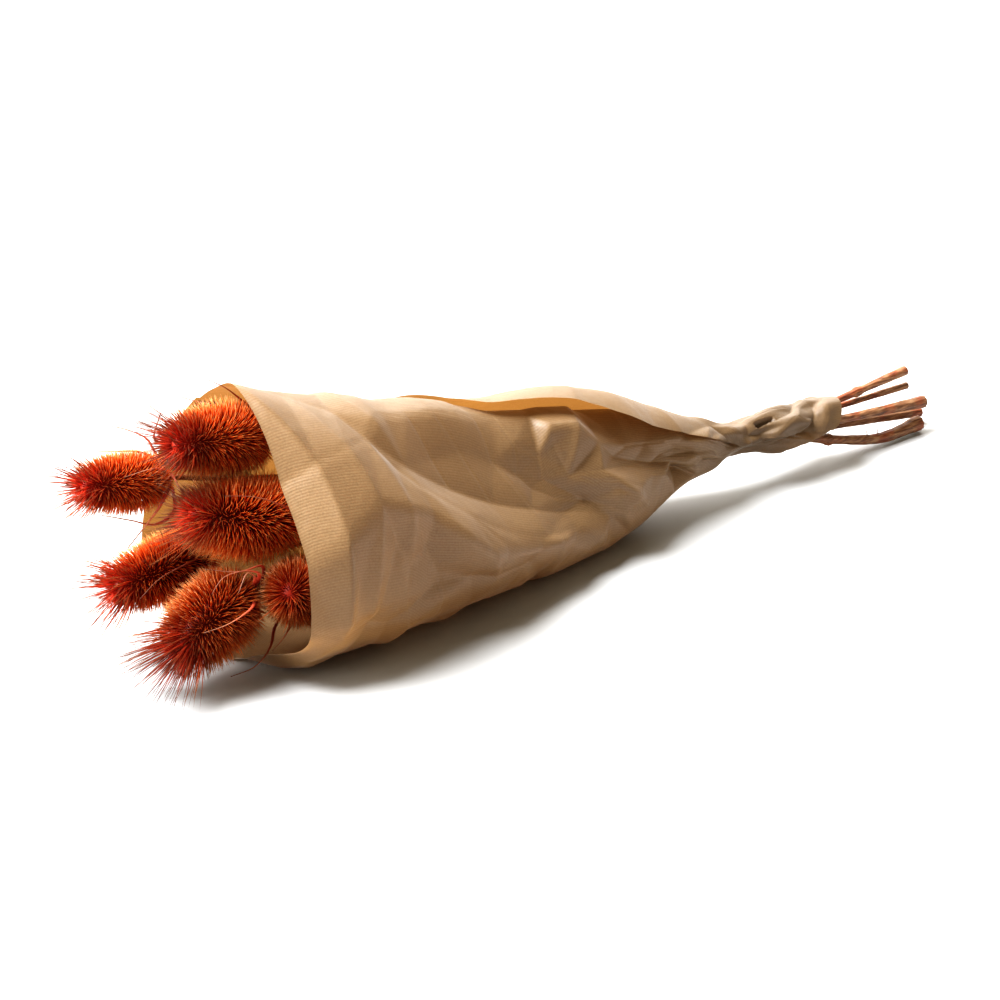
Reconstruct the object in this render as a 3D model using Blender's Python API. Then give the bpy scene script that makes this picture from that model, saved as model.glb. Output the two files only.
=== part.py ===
"""A bunch of dyed, dried teasels lying in a kraft paper wrap.

Metres, +Z up. The bunch lies along X: the seed heads point to -X, the cut stems to +X.
The origin is on the floor, under the middle of the bunch.
"""

import math

import bmesh
import bpy
import numpy as np

MM = 0.001

# Paper wrap. One sheet, rolled into a cone round the heads, gathered into a neck and a
# sleeve round the stems. Each station: x, ridge height, widest level, underside, half width.
WRAP_STATIONS = (
    (-0.240, 0.1720, 0.040, -0.0030, 0.0850),
    (-0.215, 0.1635, 0.040, -0.0030, 0.0845),
    (-0.172, 0.1490, 0.040, -0.0025, 0.0825),
    (-0.113, 0.1280, 0.040, -0.0020, 0.0760),
    (-0.050, 0.1065, 0.040, -0.0020, 0.0680),
    (0.012, 0.0925, 0.041, -0.0020, 0.0570),
    (0.051, 0.0840, 0.042, -0.0010, 0.0470),
    (0.082, 0.0770, 0.0425, 0.0047, 0.0382),
    (0.115, 0.0665, 0.0415, 0.0147, 0.0268),
    (0.148, 0.0535, 0.0375, 0.0215, 0.0168),
    (0.176, 0.0431, 0.0345, 0.0259, 0.0095),
    (0.190, 0.0436, 0.0345, 0.0248, 0.0102),
    (0.208, 0.0450, 0.0333, 0.0200, 0.0130),
    (0.235, 0.0422, 0.0300, 0.0155, 0.0145),
    (0.265, 0.0408, 0.0280, 0.0130, 0.0160),
)
RIDGE_POWER = 1.62  # below 2, so that the wrap comes to a ridge along its top
BELLY_POWERS = (-0.225, 2.0, -0.140, 2.35)  # round at the mouth, then lying flat underneath
NECK_POWER = 2.0
NECK_BLEND = (0.06, 0.14)  # x over which the section turns round
PAPER_THICK = 0.8 * MM
FLOOR_CLAMP = 0.0
MOUTH_X, MOUTH_LEAN = -0.2120, 0.0080  # the rim reaches further out underneath
SLEEVE_X, SLEEVE_LEAN = 0.2500, 0.0130  # the sleeve reaches further out on top
COLUMN_TURN = math.radians(360 / 28)
START_COLUMNS = 3  # the inner edge of the sheet lies this far past the ridge, on the far side
FLAP_COLUMNS = 6
# Where the outer free edge runs: x, and its turn past the ridge on the near side, in degrees.
FLAP_EDGE = (
    (-0.220, 3), (-0.110, 3), (-0.065, 6), (-0.030, 9), (0.000, 9), (0.040, 9), (0.080, 15),
    (0.110, 28), (0.140, 50), (0.165, 74), (0.190, 84), (0.270, 84),
)
LAYER_RISE = (math.radians(235), math.radians(318))
LAYER_GAP = 1.8 * MM
FLAP_RISE = (math.radians(280), math.radians(368))
FLAP_ARCH = (0.035, 0.105, 13.5 * MM)  # the loose flap: middle x, reach each way, lift
WRAP_ROWS = 28

# Soft dents in the near side: x, turn from the ridge, reach along x, reach round, depth.
DENTS = (
    (-0.075, math.radians(50), 0.050, math.radians(20), 6.5 * MM),
    (0.005, math.radians(64), 0.045, math.radians(22), 6.0 * MM),
    (-0.115, math.radians(96), 0.032, math.radians(32), 6.0 * MM),
    (-0.170, math.radians(66), 0.030, math.radians(20), 2.5 * MM),
    (0.055, math.radians(86), 0.028, math.radians(20), 4.5 * MM),
    (0.105, math.radians(96), 0.022, math.radians(26), 2.5 * MM),
    (-0.208, math.radians(130), 0.030, math.radians(24), 4.5 * MM),
    (-0.120, math.radians(300), 0.050, math.radians(24), 5.0 * MM),
    (-0.040, math.radians(262), 0.050, math.radians(28), 5.0 * MM),
    (0.050, math.radians(245), 0.045, math.radians(26), 4.0 * MM),
)
NECK_FOLDS = (0.135, 0.030, 5, 55.0, 1.0 * MM)  # start x, fade, folds, twist per m, height

# Seed heads: name, base, tip of the core, core radius, length of a side spine.
HEADS = (
    ("head_a", (-0.1830, 0.0040, 0.1240), (-0.2475, -0.0050, 0.1370), 13.5 * MM, 10.5 * MM),
    ("head_b", (-0.2370, 0.0260, 0.1040), (-0.2940, 0.0180, 0.1160), 11.5 * MM, 9.5 * MM),
    ("head_c", (-0.1820, -0.0200, 0.0770), (-0.2430, -0.0120, 0.0950), 14.5 * MM, 11.0 * MM),
    ("head_d", (-0.2080, 0.0250, 0.0510), (-0.2730, 0.0250, 0.0450), 12.5 * MM, 10.5 * MM),
    ("head_e", (-0.2190, -0.0270, 0.0480), (-0.2740, -0.0330, 0.0300), 15.0 * MM, 12.0 * MM),
    ("head_f", (-0.1770, -0.0310, 0.0390), (-0.2120, -0.0620, 0.0570), 13.0 * MM, 10.5 * MM),
)
HEAD_ROWS, HEAD_COLUMNS = 25, 14
EGG_SKEW = 0.80  # widest below the middle
EGG_CUTS = 0.030, 0.004  # how blunt the foot and the crown are
CROWN_FROM = 0.62
CROWN_GAIN = 1.25
SPINE_SHARE = 0.74  # length of the lowest spines, as a share of the side ones
SPINE_LEAN = (0.12, 0.62)
SPINE_CLEAR = 0.9 * MM
SPINE_SEED = 11
BRACTS = 5
BRACT_REACH, BRACT_FLARE = 46 * MM, 19 * MM
BRACT_STEPS = 4
BRACT_CLEAR = 3.0 * MM

# Stems: name, head, end radius, radius at the head, then the points it passes through.
STEM_GAP = 0.4 * MM
STEM_SIDES = 8
STEM_STEPS = 26
END_CROWDING = 0.11  # stations of a stem lie closer together towards its ends
STEM_TAPER = 4.5  # the stems swell mostly towards the cut ends
STEMS = (
    ("stem_a", "head_a", 3.35 * MM, 1.9 * MM,
     ((-0.140, 0.008, 0.1080), (-0.020, 0.004, 0.0720), (0.178, 0.0013, 0.0393), (0.252, 0.0062, 0.0352),
      (0.335, 0.0080, 0.0420))),
    ("stem_b", "head_b", 2.35 * MM, 1.7 * MM,
     ((-0.200, 0.032, 0.0930), (-0.020, 0.018, 0.0610), (0.178, 0.0052, 0.0363), (0.252, 0.0095, 0.0305),
      (0.337, 0.0080, 0.0310))),
    ("stem_c", "head_c", 4.35 * MM, 2.0 * MM,
     ((-0.140, -0.020, 0.0670), (-0.020, -0.013, 0.0490), (0.178, -0.0039, 0.0369), (0.252, -0.0040, 0.0290),
      (0.345, 0.0000, 0.0200))),
    ("stem_d", "head_d", 3.35 * MM, 1.9 * MM,
     ((-0.190, 0.028, 0.0480), (-0.020, 0.017, 0.0370), (0.178, 0.0042, 0.0317), (0.252, 0.0060, 0.0215),
      (0.352, 0.0098, 0.0080))),
    ("stem_e", "head_e", 5.0 * MM, 2.1 * MM,
     ((-0.200, -0.014, 0.0360), (-0.150, -0.011, 0.0310), (-0.020, -0.009, 0.0300), (0.178, -0.0020, 0.0308),
      (0.228, -0.0026, 0.0240), (0.262, -0.0040, 0.0145), (0.305, -0.0040, 0.0056), (0.341, -0.0010, 0.0062))),
)
BRANCH = ("stem_e", "head_f", 1.9 * MM, ((-0.150, -0.0140, 0.0290), (-0.100, -0.0106, 0.0305)))
NODE_RINGS = {"stem_a": (0.268,), "stem_e": (0.246,), "stem_c": (0.100,), "stem_d": (0.020,)}
RING_HEIGHT, RING_REACH = 0.24, 5 * MM

COLOURS = {
    "kraft_paper": ((0.56, 0.36, 0.19), 0.80),
    "dyed_spines": ((0.55, 0.09, 0.02), 0.65),
    "dyed_stem": ((0.26, 0.09, 0.035), 0.60),
}


def clear_scene():
    for obj in list(bpy.data.objects):
        bpy.data.objects.remove(obj)


def material(name):
    made = bpy.data.materials.get(name)
    if made is None:
        colour, roughness = COLOURS[name]
        made = bpy.data.materials.new(name)
        made.use_nodes = True
        shader = made.node_tree.nodes["Principled BSDF"]
        shader.inputs["Base Color"].default_value = (*colour, 1)
        shader.inputs["Roughness"].default_value = roughness
        shader.inputs["Metallic"].default_value = 0
    return made


def add_object(name, points, faces, finish):
    mesh = bpy.data.meshes.new(name)
    mesh.from_pydata([tuple(p) for p in points], [], faces)
    mesh.validate()
    obj = bpy.data.objects.new(name, mesh)
    bpy.context.scene.collection.objects.link(obj)
    mesh.materials.append(material(finish))
    mesh.shade_smooth()
    mesh.set_sharp_from_angle(angle=math.radians(32))
    return obj


def smoothstep(low, high, value):
    share = np.clip((value - low) / (high - low), 0, 1)
    return share * share * (3 - 2 * share)


def unit(vector):
    return vector / np.linalg.norm(vector)


def smooth_path(points, steps):
    """Points on a smooth curve through the given ones."""
    knots = np.array(points, float)
    along = np.r_[0, np.cumsum(np.linalg.norm(np.diff(knots, axis=0), axis=1))]
    slopes = np.gradient(knots, along, axis=0)
    made = []
    for step in range(steps + 1):
        where = along[-1] * (step / steps - END_CROWDING * math.sin(math.tau * step / steps))
        i = min(int(np.searchsorted(along, where, side="right")) - 1, len(knots) - 2)
        span = along[i + 1] - along[i]
        s = (where - along[i]) / span
        made.append(
            (2 * s**3 - 3 * s**2 + 1) * knots[i]
            + (s**3 - 2 * s**2 + s) * span * slopes[i]
            + (3 * s**2 - 2 * s**3) * knots[i + 1]
            + (s**3 - s**2) * span * slopes[i + 1]
        )
    return np.array(made)


# The wrap's section at x, as a curve round it


def wrap_profile(x):
    """Ridge, widest level, underside and half width at x, smooth between the stations."""
    table = np.array(WRAP_STATIONS)
    xs, rows = table[:, 0], table[:, 1:]
    slopes = np.gradient(rows, xs, axis=0)
    x = float(np.clip(x, xs[0], xs[-1]))
    i = min(int(np.searchsorted(xs, x, side="right")) - 1, len(xs) - 2)
    span = xs[i + 1] - xs[i]
    s = (x - xs[i]) / span
    return (
        (2 * s**3 - 3 * s**2 + 1) * rows[i]
        + (s**3 - 2 * s**2 + s) * span * slopes[i]
        + (3 * s**2 - 2 * s**3) * rows[i + 1]
        + (s**3 - s**2) * span * slopes[i + 1]
    )


def belly_power(x):
    start, first, end, last = BELLY_POWERS
    return first + (last - first) * smoothstep(start, end, x)


def section_point(x, turn, grow=0.0):
    """(y, z) on the wrap at x. turn is 0 on the ridge and a quarter turn on the near side."""
    ridge, level, underside, half_width = wrap_profile(x)
    roundness = smoothstep(*NECK_BLEND, x)
    sine, cosine = math.sin(turn), math.cos(turn)
    power = RIDGE_POWER if cosine > 0 else belly_power(x)
    power += (NECK_POWER - power) * roundness
    height = (ridge - level if cosine > 0 else level - underside) + grow
    reach = abs(sine) ** 2 + abs(cosine) ** 2
    scale = (abs(sine) ** power + abs(cosine) ** power) ** (-1 / power) / reach
    y = -math.copysign(1, sine) * (half_width + grow) * abs(sine) * scale
    return y, level + math.copysign(1, cosine) * height * abs(cosine) * scale


def bump(value, middle, reach):
    share = np.clip(abs(value - middle) / reach, 0, 1)
    return (1 - share * share) ** 2


def sheet_offset(x, turn):
    """How far the sheet stands out from the plain section: its layers, flap, dents and folds."""
    past = smoothstep(*LAYER_RISE, turn)
    middle, reach, lift = FLAP_ARCH
    out = LAYER_GAP * past + lift * smoothstep(*FLAP_RISE, turn) * bump(x, middle, reach)
    for middle, around, reach, spread, depth in DENTS:
        out -= depth * bump(x, middle, reach) * bump(turn, around, spread)
    start, fade, folds, twist, height = NECK_FOLDS
    share = smoothstep(start, start + fade, x)
    return out + height * share * math.cos(folds * turn + twist * (x - start) * math.tau / 4)


def sheet_turn(x, column):
    """The turn of a column at x. The last columns spread from the ridge to the free edge."""
    past = column - START_COLUMNS - round(math.tau / COLUMN_TURN)
    if past <= 0:
        return (column - START_COLUMNS) * COLUMN_TURN
    edge = np.interp(x, *zip(*FLAP_EDGE))
    return math.tau + math.radians(edge) * past / FLAP_COLUMNS


def sheet_point(u, column):
    """A point of the sheet's middle surface, u of the way from mouth to sleeve."""
    x = MOUTH_X + u * (SLEEVE_X - MOUTH_X)
    turn = sheet_turn(x, column)
    x += (MOUTH_LEAN + u * (SLEEVE_LEAN - MOUTH_LEAN)) * math.cos(turn)
    y, z = section_point(x, turn, sheet_offset(x, turn))
    return np.array((x, y, max(z, FLOOR_CLAMP + PAPER_THICK / 2)))


def grid_faces(rows, columns, first, flip):
    faces = []
    for i in range(rows):
        for j in range(columns):
            a = first + i * (columns + 1) + j
            b, c, d = a + 1, a + columns + 2, a + columns + 1
            for face in ((a, b, c), (a, c, d)):
                faces.append(face[::-1] if flip else face)
    return faces


def build_wrap():
    rows, columns = WRAP_ROWS, START_COLUMNS + round(math.tau / COLUMN_TURN) + FLAP_COLUMNS
    shares = [i / rows + 0.06 * math.sin(math.tau * (i / rows - 0.5)) / 2 for i in range(rows + 1)]
    middle = np.array([[sheet_point(u, j) for j in range(columns + 1)] for u in shares])
    across = np.gradient(middle, axis=1)
    along = np.gradient(middle, axis=0)
    normal = np.cross(across, along)
    normal /= np.linalg.norm(normal, axis=2)[:, :, None]
    outward = middle - np.array((0, 0, 1)) * 0.04
    outward[:, :, 0] = 0
    normal *= np.sign((normal * outward).sum(axis=2).mean())
    outer = middle + normal * PAPER_THICK / 2
    inner = middle - normal * PAPER_THICK / 2
    outer[:, :, 2] = np.maximum(outer[:, :, 2], FLOOR_CLAMP)
    flat = outer[:, :, 2] < FLOOR_CLAMP + PAPER_THICK * 0.6
    inner[:, :, 2] = np.where(flat, outer[:, :, 2] + PAPER_THICK, inner[:, :, 2])
    points = np.concatenate([outer.reshape(-1, 3), inner.reshape(-1, 3)])
    size = (rows + 1) * (columns + 1)
    faces = grid_faces(rows, columns, 0, False) + grid_faces(rows, columns, size, True)
    rim = [i * (columns + 1) for i in range(rows + 1)]
    rim += [rows * (columns + 1) + j for j in range(1, columns + 1)]
    rim += [i * (columns + 1) + columns for i in range(rows - 1, -1, -1)]
    rim += list(range(columns - 1, 0, -1))
    for a, b in zip(rim, rim[1:] + rim[:1]):
        faces += [(a, b, b + size), (a, b + size, a + size)]
    obj = add_object("paper_wrap", points, faces, "kraft_paper")
    face_outward(obj)
    return obj


def face_outward(obj):
    form = bmesh.new()
    form.from_mesh(obj.data)
    bmesh.ops.recalc_face_normals(form, faces=form.faces)
    if form.calc_volume(signed=True) < 0:
        bmesh.ops.reverse_faces(form, faces=form.faces)
    form.to_mesh(obj.data)
    form.free()


# Seed heads


class Head:
    """The core of one seed head: an egg on its own axis, which the spines stand on."""

    def __init__(self, name, base, tip, radius, spine):
        self.name, self.radius, self.spine = name, radius, spine
        self.base, self.tip = np.array(base), np.array(tip)
        self.length = np.linalg.norm(self.tip - self.base)
        self.axis = unit(self.tip - self.base)
        self.side = unit(np.cross(self.axis, (0.0, 0.0, 1.0)))
        self.up = np.cross(self.side, self.axis)

    def core_radius(self, share):
        foot, crown = EGG_CUTS
        s = (foot + (1 - foot - crown) * np.clip(share, 0, 1)) ** EGG_SKEW
        return self.radius * 2 * np.sqrt(s * (1 - s))

    def outward(self, angle):
        return self.side * math.cos(angle) + self.up * math.sin(angle)

    def surface(self, share, angle):
        along = self.base + self.axis * self.length * share
        return along + self.outward(angle) * self.core_radius(share)

    def normal(self, share, angle):
        step = 0.02
        rise = self.core_radius(share + step) - self.core_radius(share - step)
        run = self.length * 2 * step
        return unit(self.outward(angle) * run - self.axis * rise)

    def distance(self, point):
        """From a point to the core's surface."""
        share = np.clip((point - self.base) @ self.axis / self.length, 0, 1)
        centre = self.base + self.axis * self.length * share
        return np.linalg.norm(point - centre) - self.core_radius(share)


def in_wrap(point, margin):
    """Whether a point keeps its margin to the paper and the floor."""
    x, y, z = point
    if z < margin:
        return False
    if x < MOUTH_X - MOUTH_LEAN - margin:
        return True
    ridge, level, underside, half_width = wrap_profile(x)
    power = RIDGE_POWER if z > level else belly_power(x)
    height = ridge - level if z > level else level - max(underside, PAPER_THICK)
    gap = margin + PAPER_THICK + LAYER_GAP / 2
    return (abs(y) / (half_width - gap)) ** power + (abs(z - level) / (height - gap)) ** power < 1


def clear_of_stems(point, paths, gap):
    for path, radii in paths:
        if (np.linalg.norm(path - point, axis=1) < radii + gap).any():
            return False
    return True


def free_point(point, own, heads, paths, bract=False):
    """Whether a spine or bract of one head may reach a point."""
    if not in_wrap(point, BRACT_CLEAR if bract else SPINE_CLEAR):
        return False
    mine = own.distance(point)
    for other in heads:
        if other is own:
            continue
        gap = other.distance(point)
        if bract and gap < other.spine + BRACT_CLEAR:
            return False
        if not bract and gap < mine + 2 * SPINE_CLEAR:
            return False
    return clear_of_stems(point, paths, BRACT_CLEAR if bract else 2 * SPINE_CLEAR)


def spine_tip(head, share, angle, heads, paths, draw):
    """The tip of one spine: longer and more forward towards the crown, cut short by neighbours."""
    root = head.surface(share, angle)
    lean = SPINE_LEAN[0] + (SPINE_LEAN[1] - SPINE_LEAN[0]) * share**2
    along = unit(head.normal(share, angle) + head.axis * lean)
    reach = head.spine * (SPINE_SHARE + (1 - SPINE_SHARE) * smoothstep(0, 0.25, share))
    reach *= 1 + CROWN_GAIN * smoothstep(CROWN_FROM, 1, share) ** 2
    reach *= 1 + 0.12 * (draw.random() - 0.5)
    for cut in np.linspace(1, 0.12, 23):
        tip = root + along * reach * cut
        if free_point(tip, head, heads, paths):
            break
    return tip


def bract_path(head, angle, heads, paths):
    """A long bract from the foot of the head: out, then forward past the spines."""
    root = head.surface(0.02, angle)
    out = head.outward(angle)
    made = [root]
    clearance = head.radius + head.spine + BRACT_FLARE * 0.35
    for step in range(1, 13):
        s = step / 12
        away = head.core_radius(0.02) + (clearance - head.core_radius(0.02)) * math.sin(
            min(s * 1.6, 1) * math.pi / 2
        )
        away += BRACT_FLARE * 0.4 * s * s
        forward = -0.006 * math.sin(min(s * 3, 1) * math.pi) + BRACT_REACH * s**1.7
        point = head.base + head.axis * forward + out * away
        if not free_point(point, head, heads, paths, bract=True):
            break
        made.append(point)
    return np.array(made)


def build_head(head, heads, paths, draw):
    """Diamond cells in spiral rows, each raised to a spine. Some foot cells carry a bract."""
    rows, half_columns = HEAD_ROWS, 2 * HEAD_COLUMNS
    points, faces, index = [], [], {}

    def lattice(i, k):
        k %= half_columns
        if (i, k) not in index:
            index[i, k] = len(points)
            points.append(head.surface(i / rows, math.tau * k / half_columns))
        return index[i, k]

    bract_cells = {round(half_columns * (b + 0.25) / BRACTS) // 2 * 2 for b in range(BRACTS)}
    for i in range(1, rows):
        for k in range(half_columns):
            if (i + k) % 2 == 0:
                continue
            ring = [lattice(i - 1, k), lattice(i, k + 1), lattice(i + 1, k), lattice(i, k - 1)]
            angle = math.tau * k / half_columns
            if i == 1 and k in bract_cells:
                path = bract_path(head, angle, heads, paths)
                if len(path) >= 5:
                    ring = carry_bract(points, faces, ring, path)
                    continue
            tip = len(points)
            points.append(spine_tip(head, i / rows, angle, heads, paths, draw))
            faces += [(a, b, tip) for a, b in zip(ring, ring[1:] + ring[:1])]
    for i, inner, shift in ((0, 1, 0), (rows, rows - 1, 0)):
        pole = len(points)
        if i == 0:
            points.append(head.base.copy())
        else:
            points.append(crown_tip(head, heads, paths))
        for k in range(half_columns):
            if (i + k) % 2 == 0:
                here, there, between = lattice(i, k), lattice(i, k + 2), lattice(inner, k + 1)
                faces.append((here, there, between) if i else (there, here, between))
                faces.append((there, here, pole) if i else (here, there, pole))
    obj = add_object(head.name, points, faces, "dyed_spines")
    face_outward(obj)
    return obj


def crown_tip(head, heads, paths):
    for cut in np.linspace(1.7, 0.1, 17):
        tip = head.tip + head.axis * head.spine * cut
        if free_point(tip, head, heads, paths):
            break
    return tip


def carry_bract(points, faces, ring, path):
    """Carries a cell's ring out along the bract's path, narrowing to its tip."""
    stations = path[np.round(np.linspace(0, len(path) - 1, BRACT_STEPS + 1)).astype(int)]
    corners = np.array([points[k] for k in ring])
    offsets = corners - corners.mean(axis=0)
    first = unit(stations[1] - stations[0])
    for step in range(1, BRACT_STEPS):
        onward = unit(stations[step + 1] - stations[step - 1])
        width = 1.1 * MM * (1 - 0.6 * step / BRACT_STEPS)
        turned = turn_between(offsets, first, onward)
        flat = turned - np.outer(turned @ onward, onward)
        flat *= (width / np.linalg.norm(flat, axis=1))[:, None]
        made = []
        for offset in flat:
            made.append(len(points))
            points.append(stations[step] + offset)
        for a in range(4):
            b = (a + 1) % 4
            faces += [(ring[a], ring[b], made[b]), (ring[a], made[b], made[a])]
        ring = made
    tip = len(points)
    points.append(stations[-1])
    faces += [(a, b, tip) for a, b in zip(ring, ring[1:] + ring[:1])]
    return ring


def turn_between(vectors, start, end):
    """Vectors turned by the least turn that takes one direction to another."""
    cross = np.cross(start, end)
    cosine = float(start @ end)
    if np.linalg.norm(cross) < 1e-9:
        return vectors
    skew = np.array(
        ((0, -cross[2], cross[1]), (cross[2], 0, -cross[0]), (-cross[1], cross[0], 0))
    )
    return vectors @ (np.eye(3) + skew + skew @ skew / (1 + cosine)).T


# Stems


def stem_path(head, thin, thick, through, steps=STEM_STEPS):
    """Centre line from just under a head to the cut end, and the radius along it."""
    start = head.base - head.axis * STEM_GAP
    path = smooth_path([start, start - head.axis * 0.010, *through], steps)
    share = np.linspace(0, 1, len(path))
    return path, thin + (thick - thin) * share**STEM_TAPER


def ring_swell(path, radii, where):
    """Adds a leaf-scar ring: three close stations, the middle one swollen."""
    for x in where:
        i = int(np.searchsorted(path[:, 0], x))
        before, after = path[i - 1], path[i]
        share = (x - before[0]) / (after[0] - before[0])
        middle = before + (after - before) * share
        onward = unit(after - before) * RING_REACH / 2
        size = radii[i - 1] + (radii[i] - radii[i - 1]) * share
        near = np.linalg.norm(path - middle, axis=1) < RING_REACH * 0.8
        path, radii = path[~near], radii[~near]
        i = int(np.searchsorted(path[:, 0], x))
        path = np.insert(path, i, [middle - onward, middle, middle + onward], axis=0)
        radii = np.insert(radii, i, [size, size * (1 + RING_HEIGHT), size])
    return path, radii


def tube(name, path, radii, finish="dyed_stem"):
    """A closed round bar along a path."""
    onward = np.gradient(path, axis=0)
    onward /= np.linalg.norm(onward, axis=1)[:, None]
    side = unit(np.cross(onward[0], (0.0, 0.0, 1.0)))
    points, faces = [], []
    for i, (centre, radius) in enumerate(zip(path, radii)):
        side = unit(side - onward[i] * (side @ onward[i]))
        up = np.cross(side, onward[i])
        for k in range(STEM_SIDES):
            angle = math.tau * (k + 0.5) / STEM_SIDES
            points.append(centre + (side * math.cos(angle) + up * math.sin(angle)) * radius)
    for i in range(len(path) - 1):
        for k in range(STEM_SIDES):
            a, b = i * STEM_SIDES + k, i * STEM_SIDES + (k + 1) % STEM_SIDES
            c, d = b + STEM_SIDES, a + STEM_SIDES
            faces += [(a, b, c), (a, c, d)]
    last = (len(path) - 1) * STEM_SIDES
    faces.append(tuple(range(STEM_SIDES)))
    faces.append(tuple(range(last, last + STEM_SIDES)))
    obj = add_object(name, points, faces, finish)
    face_outward(obj)
    return obj


def join_branch(stem, branch):
    join = stem.modifiers.new("join_branch", "BOOLEAN")
    join.operation, join.object = "UNION", branch
    bpy.context.view_layer.update()
    graph = bpy.context.evaluated_depsgraph_get()
    joined = bpy.data.meshes.new_from_object(stem.evaluated_get(graph))
    stem.modifiers.clear()
    stem.data = joined
    bpy.data.objects.remove(branch)


def centre_on_origin():
    """Moves everything level, so that the bunch's box is centred over the origin."""
    corners = []
    for obj in bpy.data.objects:
        places = np.array([vertex.co for vertex in obj.data.vertices])
        corners += [places.min(axis=0), places.max(axis=0)]
    middle = (np.min(corners, axis=0) + np.max(corners, axis=0)) / 2
    for obj in bpy.data.objects:
        for vertex in obj.data.vertices:
            vertex.co.x -= middle[0]
            vertex.co.y -= middle[1]
    return middle


def main():
    clear_scene()
    build_wrap()
    heads = {spec[0]: Head(*spec) for spec in HEADS}
    paths = {}
    for name, head, thick, thin, through in STEMS:
        path, radii = stem_path(heads[head], thin, thick, through)
        paths[name] = ring_swell(path, radii, NODE_RINGS.get(name, ()))
    carrier, head, thin, through = BRANCH
    branch = stem_path(heads[head], thin, thin, through, steps=8)
    near = [(smooth_path(path, 160), np.interp(np.linspace(0, 1, 161), np.linspace(0, 1, len(radii)), radii))
            for path, radii in [*paths.values(), branch]]
    owners = [*(spec[1] for spec in STEMS), head]
    for name, path in paths.items():
        tube(name, *path)
    join_branch(bpy.data.objects[carrier], tube("branch", *branch))
    draw = np.random.default_rng(SPINE_SEED)
    for head in heads.values():
        others = [path for path, owner in zip(near, owners) if owner != head.name]
        build_head(head, list(heads.values()), others, draw)
    centre_on_origin()


main()
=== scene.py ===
"""Looks of the wrapped teasel bunch: ribbed kraft paper, fine dyed spines, bracts and cut stems.

The bunch is drawn in the same coordinates as its solids' source, in metres, and every piece is
then moved level by OFFSET, to where the frame has it.
"""

import math

import bpy
import numpy as np
from mathutils import Matrix, Vector, geometry


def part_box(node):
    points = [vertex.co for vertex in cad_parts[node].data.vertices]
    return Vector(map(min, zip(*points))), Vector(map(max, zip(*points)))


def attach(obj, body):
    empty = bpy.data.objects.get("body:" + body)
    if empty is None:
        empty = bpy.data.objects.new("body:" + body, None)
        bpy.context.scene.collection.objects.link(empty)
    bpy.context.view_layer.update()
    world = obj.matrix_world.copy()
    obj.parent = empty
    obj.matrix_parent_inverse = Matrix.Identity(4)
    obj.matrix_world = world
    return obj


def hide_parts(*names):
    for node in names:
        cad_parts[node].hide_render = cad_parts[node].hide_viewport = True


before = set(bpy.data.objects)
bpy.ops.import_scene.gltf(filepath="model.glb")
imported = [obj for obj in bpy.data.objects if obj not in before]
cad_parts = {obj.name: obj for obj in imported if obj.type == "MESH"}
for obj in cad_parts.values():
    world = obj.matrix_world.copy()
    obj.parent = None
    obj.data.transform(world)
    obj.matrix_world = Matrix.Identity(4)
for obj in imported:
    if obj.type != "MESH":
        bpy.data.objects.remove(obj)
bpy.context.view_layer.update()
MM = 0.001

# Paper wrap, with the driving sizes of its solid. Each station: x, ridge height, widest level,
# underside, half width.
WRAP_STATIONS = (
    (-0.240, 0.1720, 0.040, -0.0030, 0.0850),
    (-0.215, 0.1635, 0.040, -0.0030, 0.0845),
    (-0.172, 0.1490, 0.040, -0.0025, 0.0825),
    (-0.113, 0.1280, 0.040, -0.0020, 0.0760),
    (-0.050, 0.1065, 0.040, -0.0020, 0.0680),
    (0.012, 0.0925, 0.041, -0.0020, 0.0570),
    (0.051, 0.0840, 0.042, -0.0010, 0.0470),
    (0.082, 0.0770, 0.0425, 0.0047, 0.0382),
    (0.115, 0.0665, 0.0415, 0.0147, 0.0268),
    (0.148, 0.0535, 0.0375, 0.0215, 0.0168),
    (0.176, 0.0431, 0.0345, 0.0259, 0.0095),
    (0.190, 0.0436, 0.0345, 0.0248, 0.0102),
    (0.208, 0.0450, 0.0333, 0.0200, 0.0130),
    (0.235, 0.0422, 0.0300, 0.0155, 0.0145),
    (0.265, 0.0408, 0.0280, 0.0130, 0.0160),
)

# Powers that shape the section: above the widest level, below it (from x, power, to x, power),
# and in the neck, with the x span in which the neck's takes over.
RIDGE_POWER = 1.62
BELLY_POWERS = (-0.225, 2.0, -0.140, 2.35)
NECK_POWER = 2.0
NECK_BLEND = (0.06, 0.14)

# Ends of the sheet: x, and how far it leans, towards +X at the ridge and -X underneath.
MOUTH_X, MOUTH_LEAN = -0.2120, 0.0080
SLEEVE_X, SLEEVE_LEAN = 0.2500, 0.0130
LIP_CURL = (138, 44, 0.016, 11.0 * MM)  # of the mouth's lower rim: turn, its reach, x reach, height
SLEEVE_TEAR = (155, 80, 0.028)  # of the sleeve's lower end: turn, its reach, depth
TEAR_FROM = 0.82  # share of the sheet's length where the tear starts to pull it back

# Turns are in degrees from the ridge towards the near side. The sheet starts on the far side,
# three of the solid's 28 columns before the ridge, goes once round and ends at the flap's free
# edge, given as x and the turn past 360.
SHEET_START = -360 / 28 * 3
FLAP_START = 324
FLAP_EDGE = (
    (-0.230, -26), (-0.110, -26), (-0.090, -20), (-0.078, -13), (-0.062, -6), (-0.046, 1),
    (-0.036, 4), (-0.020, 6), (0.000, 10), (0.020, 14.5), (0.040, 19.5), (0.060, 27), (0.080, 34.5),
    (0.095, 38.5), (0.110, 44), (0.125, 51), (0.140, 59), (0.155, 68), (0.165, 77), (0.178, 86),
    (0.270, 90),
)

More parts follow.
